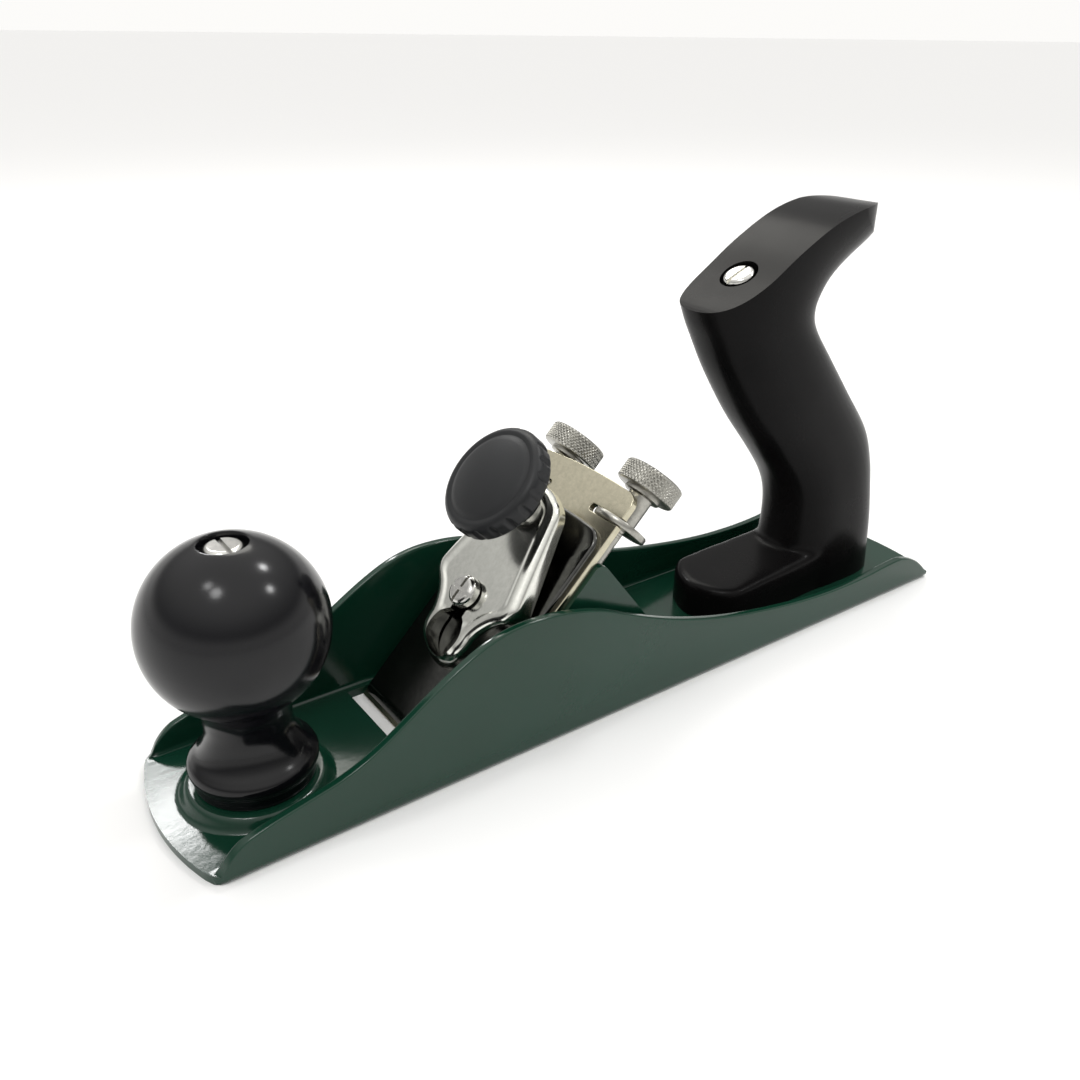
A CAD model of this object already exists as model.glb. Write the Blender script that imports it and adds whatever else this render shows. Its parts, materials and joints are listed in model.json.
import json
from math import atan2, cos, degrees, hypot, pi, radians, sin, sqrt

import bmesh
import bpy
from mathutils import Matrix, Vector


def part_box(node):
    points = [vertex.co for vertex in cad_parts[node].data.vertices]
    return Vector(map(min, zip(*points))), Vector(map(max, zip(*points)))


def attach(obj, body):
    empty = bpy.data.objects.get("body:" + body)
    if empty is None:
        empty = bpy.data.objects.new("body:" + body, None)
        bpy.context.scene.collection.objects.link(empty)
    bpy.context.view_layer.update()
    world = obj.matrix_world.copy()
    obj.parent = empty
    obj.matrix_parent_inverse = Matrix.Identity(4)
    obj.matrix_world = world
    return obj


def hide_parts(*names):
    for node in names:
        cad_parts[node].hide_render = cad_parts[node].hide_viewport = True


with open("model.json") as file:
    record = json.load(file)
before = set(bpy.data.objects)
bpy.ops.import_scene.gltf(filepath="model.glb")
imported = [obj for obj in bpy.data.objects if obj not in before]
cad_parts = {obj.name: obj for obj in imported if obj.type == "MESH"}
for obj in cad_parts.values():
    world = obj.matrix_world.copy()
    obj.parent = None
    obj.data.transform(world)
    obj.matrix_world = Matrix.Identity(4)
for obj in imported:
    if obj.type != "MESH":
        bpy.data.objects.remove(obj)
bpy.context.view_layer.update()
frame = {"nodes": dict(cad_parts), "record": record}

# Sizes below are in millimetres in the row frame and are scaled to metres when a mesh is made.
MM = 0.001
SHARP = 35  # degrees: faces that meet at more than this keep a crisp edge


# ------------------------------------------------------------------ mesh helpers

def make_object(name, verts, faces, body, nodes, smooth=True):
    """Mesh from millimetre points, riding on a body and standing for CAD nodes, if it has any."""
    mesh = bpy.data.meshes.new(name)
    mesh.from_pydata([(x * MM, y * MM, z * MM) for x, y, z in verts], [], faces)
    mesh.validate()
    tidy = bmesh.new()
    tidy.from_mesh(mesh)
    bmesh.ops.recalc_face_normals(tidy, faces=tidy.faces)
    tidy.to_mesh(mesh)
    tidy.free()
    for poly in mesh.polygons:
        poly.use_smooth = smooth
    obj = bpy.data.objects.new(name, mesh)
    bpy.context.scene.collection.objects.link(obj)
    if body:
        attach(obj, body)
    if nodes:
        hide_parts(*nodes)
    return obj


def grid_faces(rows, cols, close_rows=False):
    """Quads joining a grid of points stored row by row, where each row is a closed ring."""
    faces = []
    for i in range(rows if close_rows else rows - 1):
        for j in range(cols):
            a = i * cols + j
            b = i * cols + (j + 1) % cols
            c = ((i + 1) % rows) * cols + (j + 1) % cols
            d = ((i + 1) % rows) * cols + j
            faces.append((a, b, c, d))
    return faces


def arc(cx, cz, radius, start, end, steps):
    """Points on an arc, angles in degrees."""
    points = []
    for k in range(steps + 1):
        angle = radians(start + (end - start) * k / steps)
        points.append((cx + radius * cos(angle), cz + radius * sin(angle)))
    return points


def resample(points, spacing):
    """The same path with extra points so that no run is longer than spacing."""
    result = [points[0]]
    for a, b in zip(points, points[1:]):
        count = max(1, int(hypot(b[0] - a[0], b[1] - a[1]) / spacing + 0.5))
        for k in range(1, count + 1):
            t = k / count
            result.append((a[0] + (b[0] - a[0]) * t, a[1] + (b[1] - a[1]) * t))
    return result


def arc_through(p1, p2, p3, steps):
    """Points on the circle through three points, from the first to the last."""
    (ax, ay), (bx, by), (cx, cy) = p1, p2, p3
    d = 2 * (ax * (by - cy) + bx * (cy - ay) + cx * (ay - by))
    a2, b2, c2 = ax * ax + ay * ay, bx * bx + by * by, cx * cx + cy * cy
    ux = (a2 * (by - cy) + b2 * (cy - ay) + c2 * (ay - by)) / d
    uy = (a2 * (cx - bx) + b2 * (ax - cx) + c2 * (bx - ax)) / d
    radius = hypot(ax - ux, ay - uy)
    start = atan2(ay - uy, ax - ux)
    turn = (atan2(cy - uy, cx - ux) - start) % (2 * pi)
    if (atan2(by - uy, bx - ux) - start) % (2 * pi) > turn:
        turn -= 2 * pi
    angles = [start + turn * k / steps for k in range(steps + 1)]
    return [(ux + radius * cos(angle), uy + radius * sin(angle)) for angle in angles]


def catmull(points, per_span):
    """Smooth curve through points of any dimension."""
    dims = len(points[0])
    padded = [points[0]] + list(points) + [points[-1]]
    result = []
    for i in range(1, len(padded) - 2):
        p0, p1, p2, p3 = padded[i - 1:i + 3]
        for k in range(per_span):
            t = k / per_span
            result.append(tuple(
                0.5 * (2 * p1[d] + (p2[d] - p0[d]) * t
                       + (2 * p0[d] - 5 * p1[d] + 4 * p2[d] - p3[d]) * t * t
                       + (3 * p1[d] - p0[d] - 3 * p2[d] + p3[d]) * t * t * t)
                for d in range(dims)
            ))
    result.append(tuple(points[-1]))
    return result


def interpolate(table, x):
    """Value at x on the straight runs between (x, value) pairs sorted by x."""
    if x <= table[0][0]:
        return table[0][1]
    for (x0, y0), (x1, y1) in zip(table, table[1:]):
        if x <= x1:
            return y0 + (y1 - y0) * (x - x0) / (x1 - x0)
    return table[-1][1]


def lathe(profile, segments, place, radial=None):
    """Closed ring mesh from a closed (radius, height) profile; radial may push points in or out."""
    verts = []
    for r, h in profile:
        for k in range(segments):
            angle = 2 * pi * k / segments
            rr = radial(r, h, angle) if radial else r
            verts.append(place((rr * cos(angle), rr * sin(angle), h)))
    return verts, grid_faces(len(profile), segments, close_rows=True)


def solid_lathe(profile, segments, place, radial=None):
    """Closed mesh whose profile starts and ends on the axis."""
    verts = [place((0, 0, profile[0][1]))]
    inner = profile[1:-1]
    for r, h in inner:
        for k in range(segments):
            angle = 2 * pi * k / segments
            rr = radial(r, h, angle) if radial else r
            verts.append(place((rr * cos(angle), rr * sin(angle), h)))
    last = len(verts)
    verts.append(place((0, 0, profile[-1][1])))
    faces = [tuple(v + 1 for v in f) for f in grid_faces(len(inner), segments)]
    for k in range(segments):
        j = (k + 1) % segments
        faces.append((0, 1 + j, 1 + k))
        base = 1 + (len(inner) - 1) * segments
        faces.append((last, base + k, base + j))
    return verts, faces


def cut(obj, cutters, folded=False):
    """Boolean difference with closed helper meshes; folded is for a skin that meets itself."""
    for cutter in cutters:
        modifier = obj.modifiers.new("cut", "BOOLEAN")
        modifier.object = cutter
        modifier.operation = "DIFFERENCE"
        modifier.solver = "EXACT"
        modifier.use_self = folded
        settle(obj)
        bpy.data.objects.remove(cutter)


def settle(obj):
    """Replace an object's mesh by its evaluated mesh."""
    bpy.context.view_layer.update()
    graph = bpy.context.evaluated_depsgraph_get()
    mesh = bpy.data.meshes.new_from_object(obj.evaluated_get(graph))
    old = obj.data
    obj.modifiers.clear()
    obj.data = mesh
    mesh.name = old.name
    bpy.data.meshes.remove(old)


def crease(obj, angle=SHARP):
    """Smooth shading except across sharp edges."""
    for poly in obj.data.polygons:
        poly.use_smooth = True
    obj.data.set_sharp_from_angle(angle=radians(angle))


def bevel(obj, width, angle=SHARP):
    """Edges rounded over a width in millimetres, with normals that keep the flats flat."""
    modifier = obj.modifiers.new("edge", "BEVEL")
    modifier.width = width * MM
    modifier.segments = 3
    modifier.limit_method = "ANGLE"
    modifier.angle_limit = radians(angle)
    modifier.harden_normals = True
    modifier.use_clamp_overlap = True
    settle(obj)


def cad_copy(name, node, body, slot, width, angle=SHARP):
    """Copy of a CAD piece with its flats merged and its edges rounded."""
    mesh = frame["nodes"][node].data.copy()
    mesh.name = name
    if mesh.attributes.get("custom_normal"):
        mesh.attributes.remove(mesh.attributes["custom_normal"])
    work = bmesh.new()
    work.from_mesh(mesh)
    same_place = 0.002 * MM
    flat_enough = radians(0.6)
    bmesh.ops.remove_doubles(work, verts=work.verts, dist=same_place)
    bmesh.ops.dissolve_limit(work, angle_limit=flat_enough, verts=work.verts, edges=work.edges)
    work.to_mesh(mesh)
    work.free()
    obj = bpy.data.objects.new(name, mesh)
    bpy.context.scene.collection.objects.link(obj)
    bevel(obj, width, angle)
    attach(obj, body)
    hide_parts(node)
    return paint(obj, slot)


def tool(verts, faces):
    """Helper mesh for a boolean, never shown."""
    return make_object("tool", verts, faces, None, (), smooth=False)


def prism(outline, low, high, place):
    """Closed prism from a flat outline; place maps (u, v, w) to the row frame."""
    n = len(outline)
    verts = [place((u, v, low)) for u, v in outline] + [place((u, v, high)) for u, v in outline]
    faces = [tuple(range(n))[::-1], tuple(range(n, 2 * n))]
    faces += grid_faces(2, n)
    return verts, faces


# ------------------------------------------------------------------ places taken from the CAD frame

def mm_box(node):
    """Lowest and highest corners of a CAD node, in millimetres."""
    low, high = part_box(node)
    return [v / MM for v in low], [v / MM for v in high]


knob_low, knob_high = mm_box("front_knob")
blade_low, blade_high = mm_box("blade")
KNOB_X = (knob_low[0] + knob_high[0]) / 2
KNOB_FOOT = knob_low[2]
EDGE = Vector((blade_high[0], 0, blade_low[2]))
BED_TILT = pi / 4
UP = Vector((-sin(BED_TILT), 0, cos(BED_TILT)))
OUT = Vector((sin(BED_TILT), 0, cos(BED_TILT)))
SIDE = Vector((0, 1, 0))


def bed(point):
    """Row-frame point for (distance up the iron, across, height out of the iron's face)."""
    s, y, rise = point
    return tuple(EDGE + UP * s + SIDE * y + OUT * rise)


def on_bed(s, y, rise):
    """Place function for a turned piece standing square to the bed."""
    def place(p):
        return bed((s - p[1], y + p[0], rise + p[2]))
    return place


def along_bed(s, y, rise):
    """Place function for a turned piece whose axis runs up the iron."""
    def place(p):
        return bed((s + p[2], y + p[0], rise + p[1]))
    return place


def upright(x, y, z):
    """Place function for a turned piece with an upright axis."""
    def place(p):
        return (x + p[0], y + p[1], z + p[2])
    return place


# ------------------------------------------------------------------ materials

def material(name):
    """New material with its node tree and its shader."""
    mat = bpy.data.materials.new(name)
    mat.use_nodes = True
    tree = mat.node_tree
    return mat, tree, tree.nodes["Principled BSDF"]


def coords(tree, scale=(1, 1, 1), turn=(0, 0, 0)):
    """Object-space coordinates in metres, stretched along chosen directions."""
    source = tree.nodes.new("ShaderNodeTexCoord")
    mapping = tree.nodes.new("ShaderNodeMapping")
    mapping.inputs["Scale"].default_value = scale
    mapping.inputs["Rotation"].default_value = turn
    tree.links.new(source.outputs["Object"], mapping.inputs["Vector"])
    return mapping.outputs["Vector"]


def noise(tree, vector, scale, detail=4.0, roughness=0.5):
    """Fractal noise; scale counts its blotches per metre."""
    node = tree.nodes.new("ShaderNodeTexNoise")
    node.inputs["Scale"].default_value = scale
    node.inputs["Detail"].default_value = detail
    node.inputs["Roughness"].default_value = roughness
    tree.links.new(vector, node.inputs["Vector"])
    return node.outputs["Fac"]


def remap(tree, value, low, high, from_low=0.3, from_high=0.7):
    """Linear change of range, by default from the middle of a noise to low..high."""
    node = tree.nodes.new("ShaderNodeMapRange")
    node.inputs["From Min"].default_value = from_low
    node.inputs["From Max"].default_value = from_high
    node.inputs["To Min"].default_value = low
    node.inputs["To Max"].default_value = high
    tree.links.new(value, node.inputs["Value"])
    return node.outputs["Result"]


def blend_colours(tree, factor, first, second):
    """Mix of two colours; the colour sockets of a Mix node are numbered, not named apart."""
    node = tree.nodes.new("ShaderNodeMix")
    node.data_type = "RGBA"
    node.inputs[6].default_value = (*first, 1)
    node.inputs[7].default_value = (*second, 1)
    tree.links.new(factor, node.inputs[0])
    return node.outputs[2]


def bump(tree, shader, layers):
    """Chain of bump layers: (height output, distance in metres, strength)."""
    normal = None
    for height, distance, strength in layers:
        node = tree.nodes.new("ShaderNodeBump")
        node.inputs["Distance"].default_value = distance
        node.inputs["Strength"].default_value = strength
        tree.links.new(height, node.inputs["Height"])
        if normal:
            tree.links.new(normal, node.inputs["Normal"])
        normal = node.outputs["Normal"]
    tree.links.new(normal, shader.inputs["Normal"])


EVEN = (1, 1, 1)
BED_TURN = (0, radians(-45), 0)
LINES_UP_THE_BED = (0.12, 1, 1)
LINES_ACROSS = (1, 0.1, 1)


def enamel():
    """Glossy dark green stoving enamel with faint orange peel and dust."""
    mat, tree, shader = material("green_enamel")
    where = coords(tree)
    patches = noise(tree, where, 26, 3)
    peel = noise(tree, where, 420, 2)
    dust = noise(tree, where, 1500, 5, 0.7)
    deep_green = (0.0035, 0.030, 0.016)
    light_green = (0.005, 0.036, 0.021)
    colour = blend_colours(tree, remap(tree, patches, 0, 1), deep_green, light_green)
    tree.links.new(colour, shader.inputs["Base Color"])
    tree.links.new(remap(tree, patches, 0.12, 0.20), shader.inputs["Roughness"])
    shader.inputs["IOR"].default_value = 1.46
    bump(tree, shader, [(peel, 0.00006, 0.35), (dust, 0.00002, 0.25)])
    return mat


def plastic(name, colours, roughness, grain, depth, specular):
    """Moulded black plastic: slight colour drift, patchy gloss and fine moulded grain."""
    mat, tree, shader = material(name)
    where = coords(tree)
    patches = noise(tree, where, 40, 4)
    fine = noise(tree, where, grain, 4, 0.6)
    colour = blend_colours(tree, remap(tree, patches, 0, 1), *colours)
    tree.links.new(colour, shader.inputs["Base Color"])
    tree.links.new(remap(tree, patches, *roughness), shader.inputs["Roughness"])
    shader.inputs["Specular IOR Level"].default_value = specular
    bump(tree, shader, [(patches, 0.00008, 0.2), (fine, depth, 0.5)])
    return mat


def metal(name, colours, roughness, stretch=EVEN, turn=(0, 0, 0)):
    """Plated or ground steel: fine lines along the stretched direction, patchy gloss, specks."""
    mat, tree, shader = material(name)
    plain = coords(tree)
    lines = coords(tree, stretch, turn)
    patches = noise(tree, plain, 55, 4)
    grain = noise(tree, lines, 900, 4, 0.65)
    specks = noise(tree, plain, 700, 6, 0.7)
    shader.inputs["Metallic"].default_value = 1.0
    colour = blend_colours(tree, remap(tree, specks, 0, 1), *colours)
    tree.links.new(colour, shader.inputs["Base Color"])
    tree.links.new(remap(tree, patches, *roughness), shader.inputs["Roughness"])
    bump(tree, shader, [(grain, 0.00002, 0.4), (specks, 0.00001, 0.2)])
    return mat


# colours in pairs, then the range of roughness
MAT = {
    "green_enamel": enamel(),
    "black_knob": plastic(
        "black_knob", [(0.0024, 0.0024, 0.0032), (0.0042, 0.0042, 0.0055)], (0.12, 0.19),
        grain=1400, depth=0.00001, specular=0.34),
    "black_tote": plastic(
        "black_tote", [(0.0032, 0.003, 0.0032), (0.006, 0.0056, 0.0058)], (0.20, 0.30),
        grain=1800, depth=0.00002, specular=0.07),
    "thumb_black": plastic(
        "thumb_black", [(0.008, 0.0085, 0.0095), (0.013, 0.014, 0.0155)], (0.34, 0.46),
        grain=1600, depth=0.00003, specular=0.3),
    "blued_steel": metal(
        "blued_steel", [(0.060, 0.060, 0.058), (0.095, 0.095, 0.09)], (0.14, 0.24),
        LINES_ACROSS, BED_TURN),
    "cap_nickel": metal(
        "cap_nickel", [(0.70, 0.71, 0.66), (0.80, 0.80, 0.75)], (0.12, 0.20),
        LINES_UP_THE_BED, BED_TURN),
    "iron_steel": metal(
        "iron_steel", [(0.48, 0.45, 0.34), (0.60, 0.56, 0.43)], (0.18, 0.28),
        LINES_ACROSS, BED_TURN),
    "zinc_plate": metal("zinc_plate", [(0.30, 0.295, 0.27), (0.44, 0.43, 0.39)], (0.24, 0.36)),
    "bright_steel": metal("bright_steel", [(0.50, 0.50, 0.48), (0.66, 0.65, 0.62)], (0.14, 0.24)),
    "plain_steel": metal("plain_steel", [(0.34, 0.33, 0.31), (0.44, 0.43, 0.40)], (0.30, 0.42)),
}

for entry in frame["record"]["subparts"]:
    cad = frame["nodes"][entry["node"]]
    cad.data.materials.clear()
    cad.data.materials.append(MAT[entry["material_slot"]])


def paint(obj, slot):
    """Give a piece its material and name the record's slot for it."""
    obj.data.materials.clear()
    obj.data.materials.append(MAT[slot])
    return obj


# ------------------------------------------------------------------ sole

SHEET = 2.2
HALF_LENGTH = 122.5
HALF_WIDTH = 25.0
FOLD_OUTSIDE = 1.8
FOLD_INSIDE = 1.1
TOE_BULGE = 5.2
HEEL_BULGE = 3.8
TOE_CORNER = 5.0
TOE_CORNER_X = 113.9
TOE_CORNER_Y = 20.0
BOSS_RISE = 3.0
BOSS_RADIUS = 17.9
BOSS_SHOULDER = 2.6
INSIDE_FOLDS = 22.0
DISH_RADIUS = 12.6
DISH_SHOULDER = 1.6
# top edge of the side walls, (x, height) from heel to toe
WALL_TOP = [
    (-118.9, 0.4), (-117.4, 3.0), (-115.6, 4.9), (-112.2, 7.6), (-108.2, 9.7), (-105.0, 10.7),
    (-102.0, 11.2), (-95.0, 10.9), (-87.0, 10.2), (-78.0, 9.9), (-67.0, 10.2), (-56.0, 11.2),
    (-44.0, 12.9), (-31.0, 15.3), (-20.0, 18.0), (-8.5, 21.6), (1.0, 25.3), (10.0, 29.4),
    (17.5, 32.9), (25.0, 35.2), (32.5, 36.6), (40.0, 37.0), (46.0, 36.4), (52.0, 34.6),
    (58.4, 31.5), (64.7, 27.8), (71.0, 23.7), (77.0, 19.8), (83.0, 16.6), (89.0, 14.4),
    (94.6, 13.1), (100.0, 11.9), (105.0, 10.7), (109.8, 9.2), (111.8, 8.1), (113.3, 6.8),
    (114.7, 5.1), (115.6, 3.4), (117.3, 0.8),
]
wall_curve = catmull(WALL_TOP, 6)


def wall_height(x):
    """Height of the walls' top edge, never below the sheet itself."""
    return max(interpolate(wall_curve, x), SHEET)


def boss_rise(x, y):
    """Height of the pressed boss above the sheet, with rounded shoulders."""
    r = hypot(x - KNOB_X, y)
    t = min(1.0, max(0.0, (BOSS_RADIUS - r) / BOSS_SHOULDER))
    return BOSS_RISE * t * t * (3 - 2 * t)


def stations():
    """Positions along the sole, close together round the boss and at the ends."""
    xs = []
    x = -HALF_LENGTH
    while x < HALF_LENGTH:
        xs.append(x)
        near_boss = 78 < x < 121
        near_end = abs(x) > 100
        x += 0.5 if near_boss else (0.8 if near_end else 2.0)
    xs.append(HALF_LENGTH)
    return xs


def end_shift(u, y):
    """How far the arched toe or heel pulls a point back from its station."""
    bulge = TOE_BULGE if u > 0 else -HEEL_BULGE
    edge = min(1.0, abs(u) / HALF_LENGTH)
    return bulge * (y / HALF_WIDTH) ** 2 * edge ** 10


def section(top, floor_columns):
    """Half of the sole's section as (y, z): underside, outer wall, top edge, inner wall, floor."""
    lift = min(1.0, (top - SHEET) / 3.0)
    inner = HALF_WIDTH - SHEET
    half = [(y, 0.0) for y in floor_columns]
    fold_y = HALF_WIDTH - FOLD_OUTSIDE
    half.append((fold_y, 0.0))
    half += arc(fold_y, FOLD_OUTSIDE, FOLD_OUTSIDE, -90, 0, 6)[1:]
    edge = min(0.55, max(0.1, top - FOLD_OUTSIDE - 0.05))
    reach = top - edge
    for k in range(1, 9):
        half.append((HALF_WIDTH, FOLD_OUTSIDE + (reach - FOLD_OUTSIDE) * k / 8))
    half += arc(HALF_WIDTH - edge, reach, edge, 15, 90, 4)
    half += arc(inner + edge * lift, reach, edge, 90, 165, 4)
    bend = FOLD_INSIDE * lift
    foot = SHEET + bend
    half += [(inner, reach + (foot - reach) * k / 8) for k in range(8)]
    for a in (0, 22, 45, 67, 90):
        half.append((inner - bend + bend * cos(radians(a)), foot - bend * sin(radians(a))))
    clear_of_bend = inner - FOLD_INSIDE - 0.05
    half += [(min(y, clear_of_bend), SHEET) for y in reversed(floor_columns)]
    return half


def press(x, y, z):
    """A point of the sheet after the boss is pressed up and the toe corners are rounded."""
    rise = boss_rise(x, y)
    if abs(y) < INSIDE_FOLDS and rise > 0:
        r = hypot(x - KNOB_X, y)
        dish = BOSS_RISE * min(1.0, max(0.0, 1 - (r - DISH_RADIUS) / DISH_SHOULDER))
        z += rise if z > 1.0 else dish
    beyond = x - TOE_CORNER_X
    beside = abs(y) - TOE_CORNER_Y
    over = hypot(beyond, beside)
    if beyond > 0 and beside > 0.36 * beyond and over > TOE_CORNER:
        x = TOE_CORNER_X + beyond * TOE_CORNER / over
        y = (TOE_CORNER_Y + beside * TOE_CORNER / over) * (1 if y > 0 else -1)
    return x, y, z


def sole():
    """Pressed sole: one sheet folded up at both sides, its whole skin on one grid."""
    xs = stations()
    floor_columns = [k * 0.5 for k in range(0, 43)]
    verts = []
    for u in xs:
        half = section(wall_height(u - end_shift(u, HALF_WIDTH)), floor_columns)
        ring = half + [(-y, z) for y, z in reversed(half)][1:-1]
        verts += [press(u - end_shift(u, y), y, z) for y, z in ring]
    size = len(half)
    count = len(ring)
    faces = grid_faces(len(xs), count)
    # toe and heel edges: strips between the underside and the top side
    for base in (0, len(verts) - count):
        for i in range((size - 1) // 2):
            pair = (i, i + 1, size - 2 - i, size - 1 - i)
            faces.append(tuple(base + k for k in pair))
            far = [k if k in (0, size - 1) else 2 * size - 2 - k for k in pair]
            faces.append(tuple(base + k for k in reversed(far)))
    obj = make_object("sole_skin", verts, faces, "sole", ["sole_body"])
    mouth = [(57.2, -20.5), (66.4, -20.5), (66.4, 20.5), (57.2, 20.5)]
    cut(obj, [tool(*prism(mouth, -5, 10, upright(0, 0, 0)))])
    crease(obj, 40)
    return paint(obj, "green_enamel")


sole()


# ------------------------------------------------------------------ front knob and its nut

def knob():
    """Turned ball knob: beaded foot, waisted neck, ball, recessed top."""
    floor = KNOB_FOOT
    bore = 2.45
    ball_z = 44.6
    ball_r = 20.6
    neck_end = 28.4
    recess = 5.2
    recess_floor = 60.0
    profile = [(bore, floor), (13.0, floor)]
    profile += catmull([
        (13.4, floor + 0.05), (13.75, floor + 0.5), (13.8, 7.4), (13.95, 8.2), (14.5, 9.0),
        (14.75, 10.2), (14.4, 11.4), (13.5, 12.4), (12.0, 13.9), (10.7, 16.2), (9.9, 19.0),
        (9.85, 21.8), (10.2, 24.4), (11.33, 27.4),
    ], 6)
    drop = neck_end - ball_z
    start = degrees(atan2(drop, sqrt(ball_r ** 2 - drop ** 2)))
    profile += arc(0, ball_z, ball_r, start, 74.0, 48)
    top_z = profile[-1][1]
    profile += [(recess + 0.25, top_z + 0.02), (recess + 0.08, top_z - 0.15), (recess, top_z - 0.5)]
    profile += [(recess, recess_floor + 0.3), (recess - 0.2, recess_floor), (bore, recess_floor)]
    profile = resample(profile, 1.2)
    verts, faces = lathe(profile, 144, upright(KNOB_X, 0, 0))
    obj = make_object("knob_skin", verts, faces, "sole", ["front_knob"])
    crease(obj, 50)
    return paint(obj, "black_knob")


knob()
cad_copy("knob_nut_skin", "knob_nut", "sole", "bright_steel", 0.15)
cad_copy("tote_nut_skin", "tote_nut", "sole", "bright_steel", 0.15)


# ------------------------------------------------------------------ rear tote

HORN_X = -72.0
HORN_LENGTH = 19.65
HORN_HALF_WIDTH = 12.15
NUT_SEAT_RADIUS = 5.2
# stem sections from the foot up: front x, z, rear x, z, half width, squareness
TOTE_SECTIONS = [
    (-69.5, -3.0, -109.5, -3.0, 13.0, 3.2),
    (-69.5, 3.0, -109.5, 3.0, 13.0, 3.2),
    (-70.4, 12.0, -109.2, 11.0, 12.8, 3.0),
    (-71.2, 22.0, -108.4, 20.0, 12.6, 2.9),
    (-70.2, 31.0, -106.8, 30.0, 12.4, 2.8),
    (-66.4, 39.0, -105.0, 40.0, 12.2, 2.7),
    (-58.4, 49.0, -101.2, 50.5, 12.0, 2.5),
    (-47.6, 62.0, -90.4, 63.5, 12.0, 2.5),
    (-38.0, 76.0, -79.8, 76.0, 12.0, 2.5),
    (-32.4, 86.0, -71.8, 85.6, 12.0, 2.5),
    (-29.2, 92.0, -70.2, 90.8, 12.0, 2.5),
    (-26.6, 99.0, -72.2, 95.4, 12.0, 2.5),
    (-25.8, 109.0, -76.0, 99.4, 12.0, 2.5),
    (-32.0, 122.0, -82.0, 103.2, 12.0, 2.5),
    (-47.0, 132.0, -89.0, 107.2, 12.0, 2.5),
    (-64.0, 138.0, -93.6, 111.0, 11.6, 2.4),
    (-82.0, 138.0, -97.0, 115.4, 10.8, 2.3),
]
# arched top face, (x, z) from the front edge to the horn's tip
TOTE_TOP = [
    (-14.0, 91.0), (-18.0, 92.6), (-30.5, 95.6), (-42.0, 101.0), (-54.0, 108.4), (-66.0, 114.35),
    (-77.0, 117.4), (-86.5, 117.8), (-92.6, 116.3), (-96.6, 112.6), (-98.0, 107.0), (-100.0, 98.0),
]


def rounded(value, power):
    """A cosine or sine bent towards a squarer section."""
    return abs(value) ** (2 / power) * (1 if value >= 0 else -1)


def tote_stem():
    """Stem and horn as one lofted skin, run on past the top face."""
    columns = 72
    verts = []
    rows = catmull(TOTE_SECTIONS, 7)
    for fx, fz, rx, rz, half, power in rows:
        for k in range(columns):
            angle = 2 * pi * k / columns
            along = rounded(cos(angle), power)
            verts.append((
                (fx + rx) / 2 + (fx - rx) / 2 * along,
                (half - 0.05) * rounded(sin(angle), power),
                (fz + rz) / 2 + (fz - rz) / 2 * along,
            ))
    faces = grid_faces(len(rows), columns)
    faces.append(tuple(range(columns))[::-1])
    faces.append(tuple(range(len(verts) - columns, len(verts))))
    return verts, faces


def foot_height(x):
    """Top of the tote's foot, rising gently from its toe towards the stem."""
    return 12.4 + min(3.0, max(0.0, (-30.0 - x) / 16.0))


def tote_foot():
    """Long foot, rounded in plan, its top sloping up to the stem with rolled edges."""
    plan = [(-97.0, -12.0), (-80.0, -12.45), (-60.0, -13.0), (-45.0, -13.4)]
    plan += arc_through((-42.5, -13.1), (-38.6, -9.2), (-35.9, -3.4), 6)
    plan += arc_through((-35.3, -1.6), (-35.2, 0.0), (-35.3, 1.6), 2)
    plan += arc_through((-35.9, 3.4), (-38.6, 9.2), (-42.5, 13.1), 6)
    plan += [(-45.0, 13.4), (-60.0, 13.0), (-80.0, 12.45), (-97.0, 12.0)]
    plan += arc_through((-99.5, 11.0), (-104.8, 0.0), (-99.5, -11.0), 16)
    plan = resample(plan + [plan[0]], 2.0)[:-1]
    centre_x = -74.0
    roll = 2.6
    verts = []
    rings = [("wall", -4.0), ("wall", 4.0), ("wall", 8.0)]
    rings += [("roll", a) for a in range(0, 91, 15)] + [("in", t) for t in (0.85, 0.6, 0.3)]
    for kind, value in rings:
        for x, y in plan:
            top = foot_height(x)
            if kind == "wall":
                verts.append((x, y, min(value, top - 2.8)))
                continue
            if kind == "roll":
                inset = roll * (1 - cos(radians(value)))
                pull = inset / hypot(centre_x - x, y)
                rise = top - roll + roll * sin(radians(value))
                verts.append((x + (centre_x - x) * pull, y - y * pull, rise))
            else:
                px = centre_x + (x - centre_x) * value * 0.93
                verts.append((px, y * value * 0.8, foot_height(px)))
    n = len(plan)
    faces = grid_faces(len(rings), n)
    faces.append(tuple(range(n))[::-1])
    faces.append(tuple(range(len(verts) - n, len(verts))))
    return verts, faces


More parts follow.
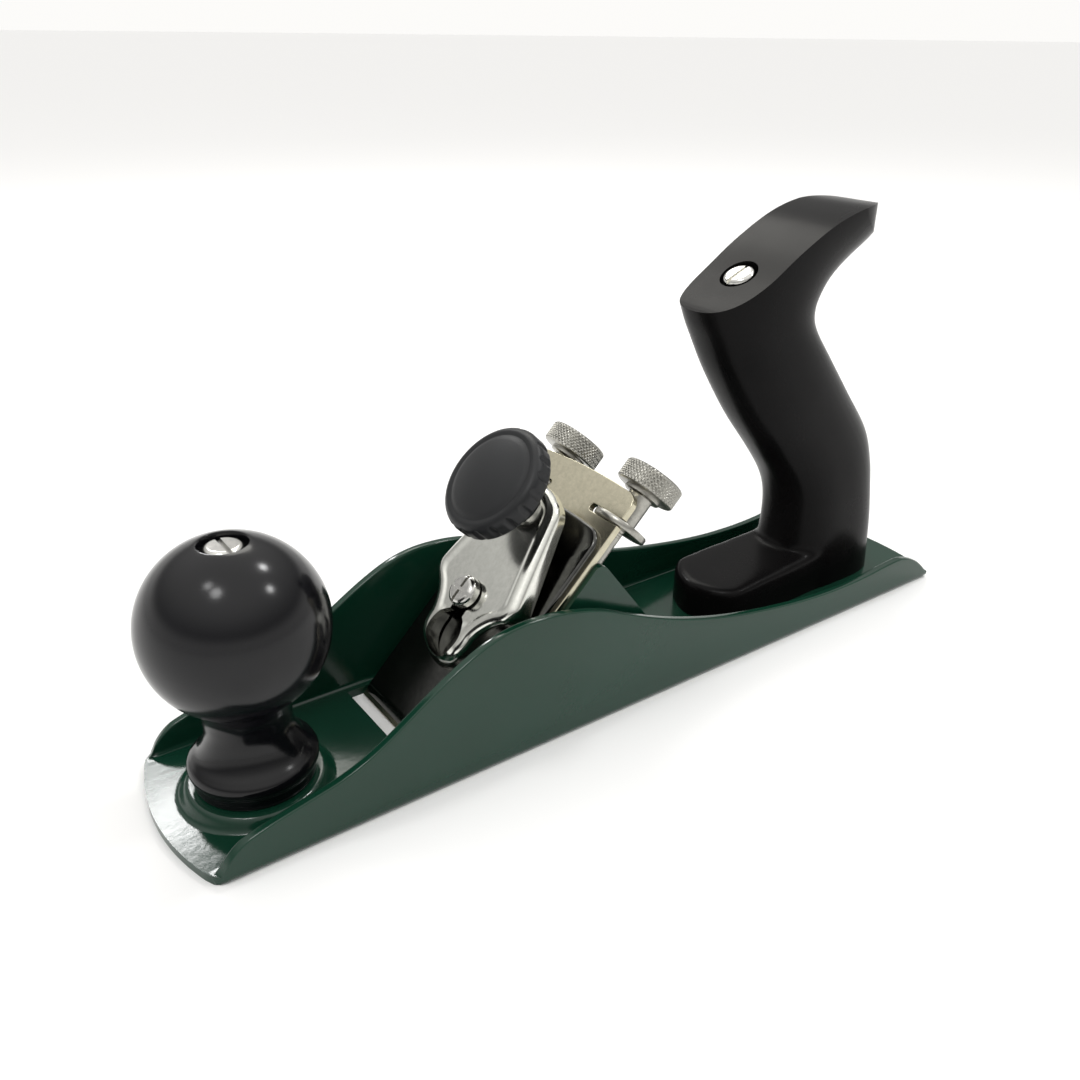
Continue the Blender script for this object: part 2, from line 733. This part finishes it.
def tote_cutters():
    """What is cut from the handle: above its arch, round its horn, below the sheet, its bores."""
    def sideways(p):
        return (p[0], p[2], p[1])

    above = catmull(TOTE_TOP, 10) + [(-125.0, 98.0), (-125.0, 160.0), (-14.0, 160.0)]
    horn = [(HORN_X, -30.0), (-125.0, -30.0), (-125.0, 30.0), (HORN_X, 30.0)]
    for a in range(90, -91, -4):
        angle = radians(a)
        horn.append((HORN_X - HORN_LENGTH * cos(angle), HORN_HALF_WIDTH * sin(angle)))
    below = [(-130.0, -20.0), (-20.0, -20.0), (-20.0, SHEET), (-130.0, SHEET)]
    anchor_pocket = [(-96.5, -6.5), (-79.5, -6.5), (-79.5, 6.5), (-96.5, 6.5)]
    axis = Vector((44.0, 0, 100.1)).normalized()
    seat = Vector((-44.0, 0, 102.3)) - axis * 3.6

    def sunk(p):
        return tuple(seat + SIDE.cross(axis) * p[0] + SIDE * p[1] + axis * p[2])

    nut_seat = [(0, 0), (NUT_SEAT_RADIUS, 0), (NUT_SEAT_RADIUS, 12.0), (0, 12.0)]
    bolt_bore = [(0, -130), (2.5, -130), (2.5, 3), (0, 3)]
    return [
        tool(*prism(above, -40, 40, sideways)),
        tool(*prism(horn, 96, 150, upright(0, 0, 0))),
        tool(*prism(below, -40, 40, sideways)),
        tool(*solid_lathe(nut_seat, 64, sunk)),
        tool(*prism(anchor_pocket, 0, 12.4, upright(0, 0, 0))),
        tool(*solid_lathe(bolt_bore, 32, sunk)),
    ]


def tote():
    """Moulded handle: stem, horn and foot flow together under a crisp arched top."""
    obj = make_object("tote_skin", *tote_stem(), "sole", ["rear_tote"])
    foot = tool(*tote_foot())
    join = obj.modifiers.new("join", "BOOLEAN")
    join.object = foot
    join.operation = "UNION"
    join.solver = "EXACT"
    settle(obj)
    bpy.data.objects.remove(foot)
    remesh = obj.modifiers.new("skin", "REMESH")
    remesh.mode = "VOXEL"
    remesh.voxel_size = 0.8 * MM
    soften = obj.modifiers.new("soften", "SMOOTH")
    soften.factor = 0.5
    soften.iterations = 14
    settle(obj)
    cut(obj, tote_cutters())
    crease(obj, 40)
    return paint(obj, "black_tote")


tote()


# ------------------------------------------------------------------ iron, frog and lever cap

cad_copy("frog_skin", "frog", "sole", "green_enamel", 0.45)
cad_copy("blade_skin", "blade", "iron", "iron_steel", 0.22)
cad_copy("cap_iron_skin", "cap_iron", "iron", "blued_steel", 0.3, 50)
cad_copy("cap_screw_skin", "lever_cap_screw", "sole", "bright_steel", 0.2, 40)

# distances up the iron and heights above it
CAP_REST = 1.63
CAP_FACE = 8.8
CAP_FACE_AT = 42.0
CAP_SLOPE = sin(radians(3))
CAP_SHEET = 1.75
NOSE_START = 27.5
NOSE_LENGTH = 8.0
THUMB_AT = 64.5


def cap_skin_height(s):
    """Height of the lever cap's outer skin: gently sloping face, nose rolled down."""
    if s >= NOSE_START:
        return CAP_FACE + (s - CAP_FACE_AT) * CAP_SLOPE
    t = min(1.0, (NOSE_START - s) / NOSE_LENGTH)
    top = CAP_FACE + (NOSE_START - CAP_FACE_AT) * CAP_SLOPE
    return CAP_REST + (top - CAP_REST) * max(0.0, 1 - t ** 2.2) ** 0.6


def skirt_height(s):
    """Height of the flange's free edge above the iron."""
    if s < 38.0:
        return CAP_REST + 0.5 * min(1.0, max(0.0, (s - 20.0) / 5.0))
    return 2.13 + (s - 38.0) / 35.0 * 4.47


def cap_outline():
    """Plan of the lever cap, nose first, once round."""
    half = arc(28.96, 0, 9.36, 180, 84, 22)
    half += arc_through((30.0, 9.3), (34.2, 11.3), (37.4, 14.6), 10)[1:]
    half += arc_through((37.4, 14.6), (39.5, 16.6), (42.4, 17.2), 8)[1:]
    half += [(64.8, 11.15)]
    half += arc_through((64.8, 11.15), (67.9, 9.6), (69.9, 6.6), 8)[1:]
    half += arc_through((69.9, 6.6), (71.3, 3.4), (71.8, 0.0), 8)[1:]
    half = resample(half, 0.9)
    return half + [(s, -y) for s, y in half[-2:0:-1]]


def lever_cap():
    """Pressed lever cap: one bent sheet with rounded flanges, a keyhole and the bush's hole."""
    outline = cap_outline()
    n = len(outline)
    bend = 2.1
    face_step = 0.28
    verts = []
    rows = [("flange", k / 4) for k in range(4)] + [("bend", a) for a in range(0, 91, 13)]
    rows += [("face", k / 22) for k in range(1, 23)]
    for kind, value in rows:
        for i, (s, y) in enumerate(outline):
            (s0, y0), (s1, y1) = outline[i - 1], outline[(i + 1) % n]
            size = hypot(s1 - s0, y1 - y0)
            inward = ((y1 - y0) / size, -(s1 - s0) / size)
            low = skirt_height(s)
            edge_top = cap_skin_height(s + inward[0] * 0.02)
            radius = min(bend, max(0.03, (edge_top - low) * 0.6))
            if kind == "flange":
                verts.append(bed((s, y, low + (edge_top - radius - low) * value)))
                continue
            angle = radians(min(90, value)) if kind == "bend" else pi / 2
            inset = radius * (1 - cos(angle))
            ps, py = s + inward[0] * inset, y + inward[1] * inset
            if kind == "bend":
                verts.append(bed((ps, py, cap_skin_height(ps) - radius * (1 - sin(angle)))))
                continue
            cs = min(max(s, 29.0), 66.0)
            fs, fy = ps + (cs - ps) * value, py * (1 - value)
            depth = hypot(fs - s, fy - y)
            step = min(1.0, max(0.0, (depth - 3.0) / 1.3)) if s > 31 else 0.0
            sunk = face_step * step * step * (3 - 2 * step)
            verts.append(bed((fs, fy, cap_skin_height(fs) - sunk)))
    faces = grid_faces(len(rows), n)
    obj = make_object("lever_cap_skin", verts, faces, "lever_cap", ["lever_cap"])
    work = bmesh.new()
    work.from_mesh(obj.data)
    bmesh.ops.remove_doubles(work, verts=work.verts, dist=0.02 * MM)
    bmesh.ops.recalc_face_normals(work, faces=work.faces)
    facing = sum((face.normal.dot(OUT) * face.calc_area() for face in work.faces), 0.0)
    if facing < 0:
        bmesh.ops.reverse_faces(work, faces=work.faces)
    work.to_mesh(obj.data)
    work.free()
    wall = obj.modifiers.new("sheet", "SOLIDIFY")
    wall.thickness = CAP_SHEET * MM
    wall.offset = -1
    wall.use_even_offset = False
    settle(obj)
    key = arc(27.6, 0, 6.2, 26.85, 333.15, 48) + arc(38.6, 0, 2.8, -90, 90, 16)
    hole = arc(THUMB_AT, 0, 4.6, 0, 352.5, 47)
    cut(obj, [tool(*prism(key, -1, 13, bed)), tool(*prism(hole, 5, 14, bed))], folded=True)
    bevel(obj, 0.3, 48)
    return paint(obj, "cap_nickel")


lever_cap()


# ------------------------------------------------------------------ thumb knob and depth screws

def thumb_knob():
    """Domed plastic knob on a tapering hub, its rim scalloped for grip."""
    flutes = 20
    flute_radius = 1.4
    flute_centre = 15.5

    def scallop(r, h, angle):
        if r < 13.0 or h < 18.0:
            return r
        pitch = 2 * pi / flutes
        off = 15.0 * abs((angle % pitch) - pitch / 2)
        if off > flute_radius - 0.02:
            return r
        return min(r, flute_centre - sqrt(flute_radius ** 2 - off ** 2))

    profile = [(0, 20.9), (2.45, 20.9), (2.55, 20.6), (2.55, 11.7), (2.8, 11.4), (5.5, 11.4)]
    profile += catmull([
        (5.75, 11.45), (6.0, 11.8), (6.5, 13.8), (7.3, 16.6), (8.0, 18.2), (9.0, 18.75),
    ], 5)
    profile += [(10.5, 18.82), (12.2, 18.85), (13.1, 18.95)]
    profile += catmull([
        (13.7, 19.25), (14.3, 19.7), (14.58, 20.3), (14.6, 21.2), (14.6, 22.4), (14.5, 23.3),
        (14.1, 24.1), (13.5, 24.6), (12.9, 24.82), (12.3, 24.8), (11.7, 24.72),
    ], 4)
    dome_top = 26.35
    dome_radius = 50.3
    for r in (11.0, 10.0, 8.8, 7.5, 6.0, 4.5, 3.0, 1.5):
        profile.append((r, dome_top - dome_radius + sqrt(dome_radius ** 2 - r ** 2)))
    profile.append((0, dome_top))
    verts, faces = solid_lathe(profile, 400, on_bed(THUMB_AT, 0, 0), scallop)
    obj = make_object("thumb_knob_skin", verts, faces, "thumb_screw", ["thumb_knob"])
    crease(obj, 45)
    return paint(obj, "thumb_black")


thumb_knob()


def depth_screw(name, node, body, y):
    """Finger screw: threaded tail, thin collar, plain shank and a diamond-knurled head."""
    teeth = 44
    knurl_pitch = 1.15
    knurl_depth = 0.3
    thread_pitch = 0.7
    thread_depth = 0.12
    axis_below_iron = 5.6

    def triangle(value):
        return abs((value / (2 * pi)) % 1.0 - 0.5) * 2

    def grip(r, h, angle):
        if r > 7.6 and 84.9 < h < 89.3:
            wave = 2 * pi * h / knurl_pitch
            ridge = min(triangle(teeth * angle + wave), triangle(teeth * angle - wave))
            return r - knurl_depth * (1 - min(1.0, ridge * 1.5))
        if r < 2.1 and 53.2 < h < 72.9:
            return r - thread_depth * triangle(2 * pi * h / thread_pitch + angle)
        return r

    profile = [(0, 52.5), (1.4, 52.5), (1.9, 53.0)]
    profile += [(1.93, 53.2 + 0.2 * k) for k in range(100)]
    profile += [(1.95, 73.3), (6.8, 73.3), (7.2, 73.4), (7.4, 73.75), (7.4, 74.65), (7.2, 75.0)]
    profile += [(6.8, 75.1), (4.2, 75.1), (3.6, 75.25), (3.3, 75.6), (3.3, 79.0), (3.3, 82.7)]
    profile += [(3.5, 83.1), (4.7, 83.2), (5.0, 83.45)]
    profile += [(5.0, 84.2), (5.1, 84.3), (7.3, 84.3), (7.7, 84.45), (7.95, 84.7)]
    profile += [(8.1, 84.92 + 0.13 * k) for k in range(34)]
    profile += [(7.95, 89.5), (7.7, 89.75), (7.3, 89.9), (6.4, 89.9), (6.2, 89.7), (2.6, 89.7)]
    profile += [(2.4, 89.5), (0, 89.5)]
    verts, faces = solid_lathe(profile, 352, along_bed(0, y, -axis_below_iron), grip)
    obj = make_object(name, verts, faces, body, [node])
    crease(obj, 38)
    return paint(obj, "zinc_plate")


DEPTH_SCREW_Y = 15.5
depth_screw("depth_screw_left_skin", "adjuster_screw_left", "adjuster_left", DEPTH_SCREW_Y)
depth_screw("depth_screw_right_skin", "adjuster_screw_right", "adjuster_right", -DEPTH_SCREW_Y)


# ------------------------------------------------------------------ stage, light and camera

def stage_floor():
    """Pale flat floor, a disc in metres that reaches far past every view."""
    rings = [0.0001, 1.0, 4.0, 12.0, 40.0]
    angles = [radians(a) for a in range(0, 360, 5)]
    verts = [(r * cos(a), r * sin(a), 0.0) for r in rings for a in angles]
    mesh = bpy.data.meshes.new("stage_floor")
    mesh.from_pydata(verts, [], grid_faces(len(rings), len(angles)))
    obj = bpy.data.objects.new("stage_floor", mesh)
    bpy.context.scene.collection.objects.link(obj)
    mat, tree, shader = material("stage_pale")
    shader.inputs["Base Color"].default_value = (0.93, 0.93, 0.93, 1)
    shader.inputs["Roughness"].default_value = 0.9
    shader.inputs["Specular IOR Level"].default_value = 0.1
    mesh.materials.append(mat)


stage_floor()


def area_light(name, position, target, size, power, colour=(1, 1, 1)):
    """Round lamp in metres and watts, turned to face its target."""
    light = bpy.data.lights.new(name, "AREA")
    light.shape = "DISK"
    light.size = size
    light.energy = power
    light.color = colour
    obj = bpy.data.objects.new(name, light)
    obj.location = position
    obj.rotation_mode = "QUATERNION"
    obj.rotation_quaternion = (Vector(target) - Vector(position)).to_track_quat("-Z", "Y")
    bpy.context.scene.collection.objects.link(obj)


MIDDLE = (0.0, 0, 0.03)
TOTE_HEAD = (-0.05, 0, 0.105)
TOE = (0.118, -0.012, 0)
area_light("key", (0.453, 0.261, 1.074), MIDDLE, 0.22, 1.3)
area_light("second", (0.504, 0.014, 1.087), MIDDLE, 0.16, 0.6)
area_light("back", (-0.558, -0.102, 0.94), MIDDLE, 0.13, 1.5)
area_light("side", (-0.564, 0.406, 0.848), MIDDLE, 0.13, 1.1)
area_light("rear_soft", (-0.27, -0.66, 0.815), TOTE_HEAD, 0.4, 1.6, (1, 0.98, 0.92))
area_light("toe_glow", (-0.005, -0.691, 0.569), TOE, 0.09, 0.6)


def smooth_ramp(tree, value, from_range, to_range):
    """Soft change from one level to another over a range of the value."""
    node = tree.nodes.new("ShaderNodeMapRange")
    node.interpolation_type = "SMOOTHSTEP"
    node.inputs["From Min"].default_value = from_range[0]
    node.inputs["From Max"].default_value = from_range[1]
    node.inputs["To Min"].default_value = to_range[0]
    node.inputs["To Max"].default_value = to_range[1]
    tree.links.new(value, node.inputs["Value"])
    return node.outputs["Result"]


def soft_sky():
    """Studio sky: brightest overhead, with a pale band just above the floor's far edge."""
    world = bpy.data.worlds.new("soft")
    bpy.context.scene.world = world
    world.use_nodes = True
    tree = world.node_tree
    where = tree.nodes.new("ShaderNodeTexCoord")
    split = tree.nodes.new("ShaderNodeSeparateXYZ")
    tree.links.new(where.outputs["Generated"], split.inputs[0])
    height = split.outputs["Z"]
    overhead = smooth_ramp(tree, height, (0.02, 0.95), (0.08, 1.25))
    band = smooth_ramp(tree, height, (0.10, 0.32), (0.9, 0.0))
    total = tree.nodes.new("ShaderNodeMath")
    total.operation = "ADD"
    tree.links.new(overhead, total.inputs[0])
    tree.links.new(band, total.inputs[1])
    background = tree.nodes["Background"]
    tree.links.new(total.outputs["Value"], background.inputs["Strength"])
    background.inputs["Color"].default_value = (1.0, 0.99, 0.97, 1)


soft_sky()


def place_camera():
    """Camera in front of the toe on the user's left, looking down along the plane."""
    lens = bpy.data.cameras.new("camera")
    lens.lens = 33.67
    lens.sensor_width = 36.0
    lens.clip_start = 0.01
    camera = bpy.data.objects.new("camera", lens)
    camera.location = (0.15387, 0.18715, 0.15855)
    camera.rotation_mode = "QUATERNION"
    view_back = Vector((0.52178, 0.72459, 0.45024))
    level = (-view_back).to_track_quat("-Z", "Y")
    roll = Matrix.Rotation(radians(0.65), 3, "Z").to_quaternion()
    camera.rotation_quaternion = level @ roll
    bpy.context.scene.collection.objects.link(camera)
    bpy.context.scene.camera = camera
    bpy.context.scene.view_settings.view_transform = "Standard"


place_camera()
